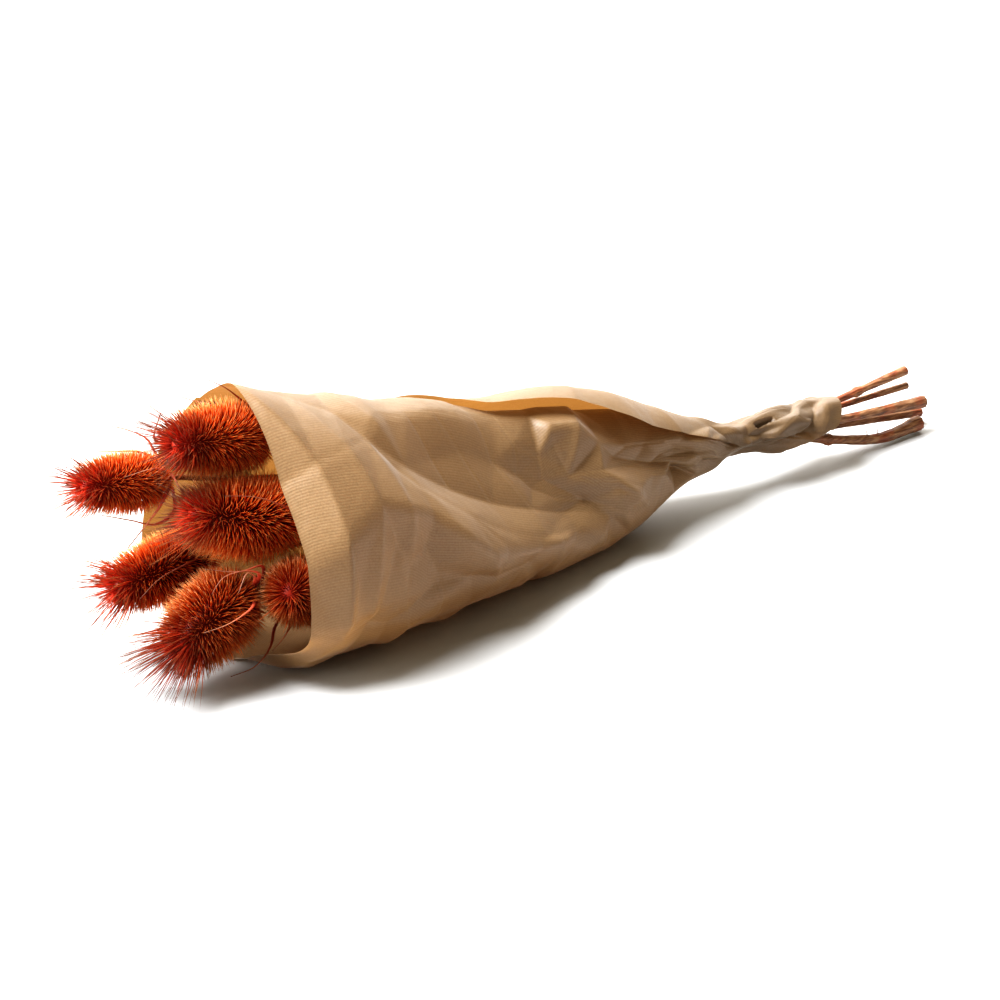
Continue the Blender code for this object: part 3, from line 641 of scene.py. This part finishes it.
def even_places(head, count):
    """Places spread evenly over the core in the spirals of a real head."""
    share = np.linspace(0, 1, CORE_SAMPLES)
    radius = head.core_radius(share)
    slope = np.hypot(np.diff(radius), head.length / (CORE_SAMPLES - 1))
    area = np.r_[0, np.cumsum(slope * radius[1:])]
    wanted = (np.arange(count) + 0.5) / count * area[-1]
    return np.interp(wanted, area, share), np.arange(count) * GOLDEN_TURN


def core_area(head):
    share = np.linspace(0, 1, CORE_SAMPLES // 2)
    return math.tau * head.core_radius(share).mean() * head.length


def spine_lines(head, heads, draw):
    """Root, direction and length of each spine, shortened where a neighbour is in the way."""
    count = int(core_area(head) / MM**2 * SPINES_PER_AREA)
    share, angle = even_places(head, count)
    root = head.surface(share, angle, CORE_SHARE)
    long = (share > LONG_FROM) & (draw.uniform(0, 1, count) < head.long_share)
    lean = SPINE_LEAN[0] + (SPINE_LEAN[1] - SPINE_LEAN[0]) * share**2 + LONG_LEAN * long
    stray = draw.normal(0, SPINE_STRAY, (count, 3))
    along = unit(head.normal(share, angle) + lean[:, None] * head.axis + stray)
    reach = head.spine * (FOOT_REACH + (1 - FOOT_REACH) * smoothstep(0, FOOT_TO, share))
    crown = smoothstep(CROWN_FROM, 1, share)
    gain = CROWN_GAIN * crown + draw.uniform(*LONG_GAIN, count) * long
    reach = reach * (1 + gain + draw.uniform(*REACH_STRAY, count))
    slack = draw.uniform(-1, 0, count) * NEIGHBOUR_ROOM
    best = np.full(count, SHORTEST)
    for cut in np.linspace(SHORTEST, 1, round((1 - SHORTEST) / CUT_STEP) + 1):
        tip = root + along * (reach * cut)[:, None]
        free = wrap_room(tip, WALL_ROOM) & (tip[:, 2] < TOP_LEVEL)
        mine = head.distance(tip)
        for other in heads:
            if other is not head:
                free &= other.distance(tip) > mine + slack
        best = np.where(free & (best > cut - 1.2 * CUT_STEP), cut, best)
    return root, along, reach * best, share, crown


def spines_mesh(head, heads, draw):
    """All the spines of a head: points, triangles, place along, tint and crown of each point."""
    root, along, reach, share, crown = spine_lines(head, heads, draw)
    count = len(root)
    side = unit(np.cross(along, head.axis + draw.normal(0, ROLL_STRAY, (count, 3))))
    up = np.cross(along, side)
    bend = (head.axis - along * (along @ head.axis)[:, None]) * SPINE_BEND
    bend = bend + draw.normal(0, BEND_STRAY, (count, 3))
    width = SPINE_WIDTH * draw.uniform(*WIDTH_STRAY, count)
    layers, values = [], []
    for place, taper in zip(SPINE_STATIONS, SPINE_TAPER):
        centre = root + (along * place + bend * place**2) * reach[:, None]
        for k in range(SPINE_SIDES):
            turn = math.tau * k / SPINE_SIDES
            spoke = side * math.cos(turn) + up * math.sin(turn)
            layers.append(centre + spoke * (width * taper)[:, None])
            values.append(place)
    layers.append(root + (along + bend) * reach[:, None])
    values.append(1.0)
    per = len(layers)
    points = np.stack(layers, axis=1)
    pattern = ring_faces(len(SPINE_STATIONS), SPINE_SIDES)
    last = (len(SPINE_STATIONS) - 1) * SPINE_SIDES
    pattern += [(last + k, last + (k + 1) % SPINE_SIDES, per - 1) for k in range(SPINE_SIDES)]
    faces = np.arange(count)[:, None, None] * per + np.array(pattern)[None]
    # A random tone for each spine, plus its head's painted light and shade shift.
    tint = np.clip(draw.uniform(0, 1, count) + HEAD_LIGHT_SHIFT.get(head.name, 0.0), 0, 1)
    return (
        points.reshape(-1, 3),
        faces.reshape(-1, 3),
        np.tile(values, count),
        np.repeat(tint, per),
        np.repeat(crown, per) * CROWN_RED.get(head.name, 1.0),
    )


def core_mesh(head):
    """The core under the spines, as points and triangles."""
    angles = np.arange(CORE_SIDES) * math.tau / CORE_SIDES
    share, angle = np.meshgrid(np.linspace(0, 1, CORE_RINGS), angles, indexing="ij")
    points = head.surface(share, angle, CORE_SHARE).reshape(-1, 3)
    points = np.concatenate([points, [head.base, head.tip]])
    return points, closed_faces(CORE_RINGS, CORE_SIDES)


def tube_mesh(path, radii, sides, flat=1.0):
    """A closed bar along a path: points, triangles and the share of its length at each point."""
    onward = unit(np.gradient(path, axis=0))
    side = unit(np.cross(onward[0], (0.13, 0.21, 0.97)))
    points, shares = [], []
    for i, centre in enumerate(path):
        side = unit(side - onward[i] * (side @ onward[i]))
        up = np.cross(side, onward[i])
        for k in range(sides):
            turn = math.tau * k / sides
            spoke = side * math.cos(turn) + up * math.sin(turn) * flat
            points.append(centre + spoke * radii[i])
            shares.append(i / (len(path) - 1))
    points += [path[0], path[-1]]
    return np.array(points), closed_faces(len(path), sides), np.array(shares + [0.0, 1.0])


def joined(meshes):
    """Several meshes as one, each a list of points, faces and any values of the points."""
    points, faces, rest, first = [], [], [], 0
    for mesh in meshes:
        points.append(mesh[0])
        faces.append(mesh[1] + first)
        rest.append(mesh[2:])
        first += len(mesh[0])
    columns = [np.concatenate(column) for column in zip(*rest)]
    return (np.concatenate(points), np.concatenate(faces), *columns)


def bract_meshes(head, draw):
    """The head's long bracts, each widest near its root and tapering to a fine tip."""
    made = []
    for through in LONG_BRACTS[head.name]:
        path = smooth_path(np.array(through) * MM, BRACT_STEPS)
        share = np.linspace(0, 1, len(path))
        path = path + np.array(BRACT_LIFT) * smoothstep(0, BRACT_FREE, share)[:, None]
        swell = np.sin(np.pi * np.clip(share * BRACT_POWER, 0, 1))
        radii = BRACT_WIDTH * (BRACT_ROOT + (1 - BRACT_ROOT) * swell)
        radii = radii * (1 - share**BRACT_POWER) + BRACT_TIP
        points, faces, shares = tube_mesh(path, radii, BRACT_SIDES, BRACT_FLATNESS)
        tint = np.full(len(points), draw.uniform(0, 1))
        made.append((points, faces, shares, tint, np.zeros(len(points))))
    return made


def build_head(head, heads, draw, materials):
    """One head: its core and spines in the first material, its bracts in the second."""
    spines = spines_mesh(head, heads, draw)
    points, faces = core_mesh(head)
    crown = smoothstep(*CORE_CROWN, (points - head.base) @ head.axis / head.length)
    colours = [np.full(len(points), value) for value in (CORE_ALONG, CORE_TINT)]
    meshes = [(points, faces, *colours, crown), spines, *bract_meshes(head, draw)]
    points, faces, along, tint, crown = joined(meshes)
    which = np.repeat([0, 0] + [1] * (len(meshes) - 2), [len(mesh[1]) for mesh in meshes])
    obj = add_mesh(
        "spiny_" + head.name, points, faces, materials,
        [("along", along), ("tint", tint), ("crown", crown)], which,
    )
    finish_piece(obj, head.name)


# Stems


def ribbed_stem(path, radii, rings, draw):
    """A ribbed, knotty stem with a hollowed end: points, triangles, which points are on the end."""
    onward = unit(np.gradient(path, axis=0))
    travelled = np.r_[0, np.cumsum(np.linalg.norm(np.diff(path, axis=0), axis=1))]
    side = unit(np.cross(onward[0], (0.0, 0.0, 1.0)))
    phase = draw.uniform(0, math.tau)
    swell = np.ones(len(path))
    for x in rings:
        middle = np.interp(x, path[:, 0], travelled)
        swell += RING_HEIGHT * np.exp(-(((travelled - middle) / RING_REACH) ** 2))
    for (height, pace), start in ((LONG_WAVE, phase), (SHORT_WAVE, 0)):
        swell += height * np.sin(travelled * pace + start)
    turn = np.arange(STEM_SIDES) * math.tau / STEM_SIDES
    points = []
    for i, centre in enumerate(path):
        side = unit(side - onward[i] * (side @ onward[i]))
        up = np.cross(side, onward[i])
        ribs = 1 + RIB_DEPTH * np.cos(STEM_RIBS * turn + phase + travelled[i] * RIB_TWIST)
        spokes = np.cos(turn)[:, None] * side + np.sin(turn)[:, None] * up
        points.append(centre + spokes * (radii[i] * swell[i] * ribs)[:, None])
    end, outline = path[-1], points[-1]
    for share, out in CUT_RINGS:
        points.append(end + (outline - end) * share + onward[-1] * out)
    count = len(points)
    points = np.concatenate([*points, [path[0], end - onward[-1] * PITH_DEPTH]])
    cut = np.arange(len(points)) >= len(path) * STEM_SIDES
    cut[-2] = False
    return points, closed_faces(count, STEM_SIDES), cut


def stem_line(head, thick, thin, through, steps):
    """The path of a stem from its head to its cut end, and its radius along the way."""
    start = head.base - head.axis * STEM_GAP
    path = smooth_path([start, start - head.axis * STEM_NECK, *through], steps, END_CROWDING)
    share = np.linspace(0, 1, len(path))
    return path, thin + (thick - thin) * share**STEM_TAPER


def splinters(stem):
    """The thorns and frayed fibres of a stem, each a short tapering bar."""
    made = []
    for name, start, end, width in SPLINTERS:
        if name == stem:
            path = np.linspace(start, end, len(SPLINTER_TAPER)) * MM
            radii = width / 2 * MM * np.array(SPLINTER_TAPER)
            points, faces, _ = tube_mesh(path, radii, SPLINTER_SIDES)
            made.append((points, faces, np.zeros(len(points))))
    return made


def build_stems(heads, draw, material):
    for name, head, thick, thin, through in STEMS:
        path, radii = stem_line(heads[head], thick, thin, through, STEM_STEPS)
        meshes = [ribbed_stem(path, radii, NODE_RINGS.get(name, ()), draw)]
        if name == BRANCH[0]:
            _, other, thin, through = BRANCH
            path, radii = stem_line(heads[other], thin, thin, through, STEM_STEPS // 3)
            meshes.append(ribbed_stem(path, radii, (), draw))
        meshes += splinters(name)
        points, faces, cut = joined(meshes)
        obj = add_mesh("ribbed_" + name, points, faces, [material], [("cut", cut)])
        finish_piece(obj, name)


# Materials


class Shading:
    """A material made of nodes, and the few kinds of node that the materials here need."""

    def __init__(self, name):
        self.material = bpy.data.materials.new(name)
        self.material.use_nodes = True
        self.nodes, self.links = self.material.node_tree.nodes, self.material.node_tree.links
        self.nodes.clear()

    def node(self, kind, **settings):
        made = self.nodes.new("ShaderNode" + kind)
        for label, value in settings.items():
            setattr(made, label, value)
        return made

    def feed(self, socket, value):
        """Sets a socket to a number or a colour, or links another node's output to it."""
        if isinstance(value, (int, float)):
            socket.default_value = value
        elif isinstance(value, tuple):
            socket.default_value = (*value, 1)
        else:
            self.links.new(value, socket)

    def place(self):
        return self.node("TexCoord").outputs["Object"]

    def attribute(self, name):
        return self.node("Attribute", attribute_name=name).outputs["Fac"]

    def math(self, operation, *values):
        made = self.node("Math", operation=operation)
        for socket, value in zip(made.inputs, values):
            self.feed(socket, value)
        return made.outputs[0]

    def noise(self, vector, scale, detail=3.0):
        made = self.node("TexNoise")
        for label, value in (("Vector", vector), ("Scale", scale), ("Detail", detail)):
            self.feed(made.inputs[label], value)
        return made.outputs["Fac"]

    def ramp(self, value, stops):
        """A colour for each value, from stops of place and colour."""
        made = self.node("ValToRGB")
        elements = made.color_ramp.elements
        while len(elements) < len(stops):
            elements.new(0.5)
        for element, (place, colour) in zip(elements, stops):
            element.position = place
            element.color = (*colour, 1)
        self.feed(made.inputs["Fac"], value)
        return made.outputs["Color"]

    def mixed(self, factor, first, second, blend="MIX"):
        made = self.node("Mix", data_type="RGBA", blend_type=blend)
        for number, value in ((0, factor), (6, first), (7, second)):
            self.feed(made.inputs[number], value)
        return made.outputs[2]

    def tinted(self, colour, value, stops):
        """The colour multiplied by the ramp's."""
        return self.mixed(1.0, colour, self.ramp(value, stops), "MULTIPLY")

    def relief(self, height, strength, distance, under=None):
        """A normal raised by the height, on top of another normal if one is given."""
        made = self.node("Bump")
        for label, value in (("Strength", strength), ("Distance", distance), ("Height", height)):
            self.feed(made.inputs[label], value)
        if under is not None:
            self.feed(made.inputs["Normal"], under)
        return made.outputs["Normal"]

    def surface(self, colour, roughness, specular, normal=None):
        made = self.node("BsdfPrincipled")
        self.feed(made.inputs["Base Color"], colour)
        self.feed(made.inputs["Roughness"], roughness)
        self.feed(made.inputs["Specular IOR Level"], specular)
        if normal is not None:
            self.feed(made.inputs["Normal"], normal)
        return made

    def glowing(self, shader, colour, share):
        """The shader with a share of light of this colour let through the thin material."""
        through, made = self.node("BsdfTranslucent"), self.node("MixShader")
        self.feed(through.inputs["Color"], colour)
        for socket, value in zip(made.inputs, (share, shader.outputs[0], through.outputs[0])):
            self.feed(socket, value)
        return made

    def finished(self, shader):
        self.feed(self.node("OutputMaterial").inputs[0], shader.outputs[0])
        return self.material


# Colours along a spine or a bract, from its root at 0 to its tip at 1.
SPINE_STOPS = (
    (0.0, (0.22, 0.026, 0.008)), (0.22, (0.48, 0.060, 0.012)), (0.50, (0.82, 0.170, 0.026)),
    (0.78, (0.84, 0.33, 0.090)), (1.0, (0.62, 0.37, 0.19)),
)
CROWN_STOPS = (
    (0.0, (0.42, 0.030, 0.014)), (0.22, (0.70, 0.085, 0.036)), (0.45, (0.46, 0.090, 0.042)),
    (0.65, (0.25, 0.088, 0.052)), (1.0, (0.12, 0.075, 0.055)),
)
BRACT_STOPS = (
    (0.0, (0.45, 0.020, 0.012)), (0.35, (0.60, 0.13, 0.07)), (0.75, (0.52, 0.22, 0.13)),
    (1.0, (0.24, 0.12, 0.08)),
)
# What the tint multiplies a spine's colour by: its random tone and its head's painted light and
# shade.
SPINE_TINTS = ((0.0, (0.70, 0.62, 0.55)), (0.5, (1.0, 1.0, 1.0)), (1.0, (1.20, 1.30, 1.20)))
SPINE_GLOW = 0.48  # share of the light that passes through

# Paper: colours of its ribs and valleys and of the light through it, then what each layer of
# detail multiplies the colour by; the darkening towards the sleeve is painted shade.
PAPER_COLOUR, PAPER_DARK = (0.228, 0.152, 0.080), (0.190, 0.122, 0.060)
PAPER_LIT_THROUGH, PAPER_GLOW = (1.0, 0.48, 0.13), 0.12
RIB_SPACING, RIB_WANDER, WANDER_SCALE = 1.75 * MM, 0.6 * MM, 35.0
FIBRE_SCALE, FIBRE_STOPS = 900.0, ((0.30, (0.82, 0.80, 0.78)), (0.62, (1.06, 1.05, 1.03)))
CLOUD_SCALE, CLOUD_STOPS = 14.0, ((0.30, (0.92, 0.91, 0.89)), (0.70, (1.04, 1.03, 1.02)))
# Painted shade: the paper darkens from x 0.12 m to 0.19 m towards the sleeve, where less light
# falls.
SLEEVE_SHADE_STOPS = ((0.12, (1, 1, 1)), (0.19, (0.64, 0.65, 0.67)))  # along the sheet, to the sleeve
WORN_STOPS = ((0.0, (1, 1, 1)), (1.0, (1.06, 1.065, 1.07)))
RUMPLE_SCALE, RUMPLE_EDGES = 42.0, 0.28
RUMPLE_RELIEF, RIB_RELIEF = (0.5, 2.2 * MM), (0.35, 0.15 * MM)  # strength, distance
RIB_SHARE, FIBRE_SHARE = 0.7, 0.5  # of the ribs and of the fibres in the fine relief

STREAK_SCALE, STREAK_STRETCH, STREAK_RELIEF = 900.0, (0.12, 1, 1), (0.6, 0.25 * MM)
STREAK_STOPS = (
    (0.30, (0.070, 0.025, 0.010)), (0.48, (0.21, 0.095, 0.040)), (0.70, (0.34, 0.19, 0.095)),
)
STAIN_SCALE, STAIN_STOPS = 60.0, ((0.36, (0.95, 0.55, 0.42)), (0.48, (1.0, 1.0, 1.0)))
PITH_COLOUR = (0.25, 0.165, 0.10)
FLOOR_SCALE, FLOOR_STOPS = 3.0, ((0.3, (0.385, 0.38, 0.37)), (0.7, (0.395, 0.39, 0.38)))


def paper_ribs(made, place):
    """A wave across the sheet, from 0 in a valley to 1 on a rib, each wandering a little."""
    shift = made.math("MULTIPLY", made.noise(place, WANDER_SCALE), RIB_WANDER)
    across = made.math("ADD", made.attribute("across"), shift)
    wave = made.math("SINE", made.math("MULTIPLY", across, math.tau / RIB_SPACING))
    return made.math("MULTIPLY_ADD", wave, 0.5, 0.5)


def paper_material():
    """Ribbed brown kraft: ribs, fibres, clouds, worn creases and painted shade towards the sleeve,
    and a little light through.
    """
    made = Shading("ribbed_kraft_paper")
    place, worn = made.place(), made.attribute("worn")
    rib = paper_ribs(made, place)
    fibre, cloud = made.noise(place, FIBRE_SCALE, 4.0), made.noise(place, CLOUD_SCALE, 4.0)
    colour = made.mixed(rib, PAPER_DARK, PAPER_COLOUR)
    colour = made.tinted(colour, fibre, FIBRE_STOPS)
    colour = made.tinted(colour, cloud, CLOUD_STOPS)
    # Painted shade, darkening the sheet towards the sleeve.
    colour = made.tinted(colour, made.attribute("lengthwise"), SLEEVE_SHADE_STOPS)
    colour = made.tinted(colour, worn, WORN_STOPS)
    edges = made.math("MULTIPLY", worn, RUMPLE_EDGES)
    rumple = made.math("ADD", made.noise(place, RUMPLE_SCALE, 2.5), edges)
    raised = made.math(
        "ADD", made.math("MULTIPLY", rib, RIB_SHARE), made.math("MULTIPLY", fibre, FIBRE_SHARE)
    )
    normal = made.relief(raised, *RIB_RELIEF, made.relief(rumple, *RUMPLE_RELIEF))
    shader = made.surface(colour, 0.45, 0.55, normal)
    made.feed(shader.inputs["Sheen Weight"], 0.15)
    made.feed(shader.inputs["Sheen Roughness"], 0.35)
    return made.finished(made.glowing(shader, PAPER_LIT_THROUGH, PAPER_GLOW))


def spine_material(name, stops, crown_stops):
    """Dyed spines: dark at the root, bright along the middle, dry and brown at the tip."""
    made = Shading(name)
    along, tint, crown = (made.attribute(label) for label in ("along", "tint", "crown"))
    colour = made.mixed(crown, made.ramp(along, stops), made.ramp(along, crown_stops))
    # The tint holds each spine's random tone and its head's painted light and shade.
    colour = made.tinted(colour, tint, SPINE_TINTS)
    return made.finished(made.glowing(made.surface(colour, 0.42, 0.45), colour, SPINE_GLOW))


def stem_material():
    """Dyed stem: orange-brown with red and dark streaks along it, and a paler cut end."""
    made = Shading("dyed_ribbed_stem")
    place, stretched = made.place(), made.node("Mapping")
    stretched.inputs["Scale"].default_value = STREAK_STRETCH
    made.feed(stretched.inputs["Vector"], place)
    streaks = made.noise(stretched.outputs[0], STREAK_SCALE, 5.0)
    colour = made.ramp(streaks, STREAK_STOPS)
    colour = made.tinted(colour, made.noise(place, STAIN_SCALE), STAIN_STOPS)
    colour = made.mixed(made.attribute("cut"), colour, PITH_COLOUR)
    return made.finished(made.surface(colour, 0.55, 0.5, made.relief(streaks, *STREAK_RELIEF)))


def floor_material():
    """The plain pale surface that the bunch lies on."""
    made = Shading("white_surface")
    colour = made.ramp(made.noise(made.place(), FLOOR_SCALE), FLOOR_STOPS)
    return made.finished(made.surface(colour, 0.7, 0.2))


# Floor, light and camera


def add_floor():
    mesh = bpy.data.meshes.new("floor")
    corners = [(-1, -1), (1, -1), (1, 1), (-1, 1)]
    corners = [(x * FLOOR_SIZE, y * FLOOR_SIZE, 0) for x, y in corners]
    mesh.from_pydata(corners, [], [(0, 1, 2, 3)])
    mesh.materials.append(floor_material())
    floor = bpy.data.objects.new("floor", mesh)
    bpy.context.scene.collection.objects.link(floor)


def add_light(name, direction, strength, angle, colour):
    """A far, broad studio lamp: the wider its angle, the softer its shadows."""
    lamp = bpy.data.lights.new(name, "SUN")
    lamp.energy, lamp.angle, lamp.color = strength, math.radians(angle), colour
    obj = bpy.data.objects.new(name, lamp)
    bpy.context.scene.collection.objects.link(obj)
    obj.location = direction
    obj.rotation_euler = Vector(direction).to_track_quat("Z", "Y").to_euler()


def add_world():
    world = bpy.data.worlds.new("studio")
    world.use_nodes = True
    background = world.node_tree.nodes["Background"]
    background.inputs["Color"].default_value = (*WORLD_COLOUR, 1)
    background.inputs["Strength"].default_value = WORLD_STRENGTH
    bpy.context.scene.world = world


def add_camera():
    around, up = math.radians(CAMERA_AZIMUTH), math.radians(CAMERA_ELEVATION)
    back = Vector((math.sin(around) * math.cos(up), -math.cos(around) * math.cos(up), math.sin(up)))
    right = Vector((math.cos(around), math.sin(around), 0))
    top = back.cross(right)
    place = Vector(CAMERA_AIM) + Vector(OFFSET) + back * CAMERA_DISTANCE
    lens = bpy.data.cameras.new("camera")
    lens.lens, lens.sensor_width, lens.clip_end = CAMERA_LENS, CAMERA_SENSOR, CAMERA_REACH
    camera = bpy.data.objects.new("camera", lens)
    bpy.context.scene.collection.objects.link(camera)
    turned = Matrix((right, top, back)).transposed().to_4x4()
    camera.matrix_world = Matrix.Translation(place) @ turned
    bpy.context.scene.camera = camera


def set_studio():
    """Camera, floor, lights and the look of the picture."""
    add_camera()
    add_floor()
    add_world()
    for light in LIGHTS:
        add_light(*light)
    bpy.context.scene.view_settings.view_transform = "Standard"
    bpy.context.scene.view_settings.look = "High Contrast"


def main():
    set_studio()
    build_wrap()
    materials = [
        spine_material("dyed_spines", SPINE_STOPS, CROWN_STOPS),
        spine_material("dyed_bracts", BRACT_STOPS, BRACT_STOPS),
    ]
    heads = {spec[0]: Head(*spec) for spec in HEADS}
    draw = np.random.default_rng(SPINE_SEED)
    for head in heads.values():
        build_head(head, list(heads.values()), draw, materials)
    build_stems(heads, draw, stem_material())
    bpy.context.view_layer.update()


main()
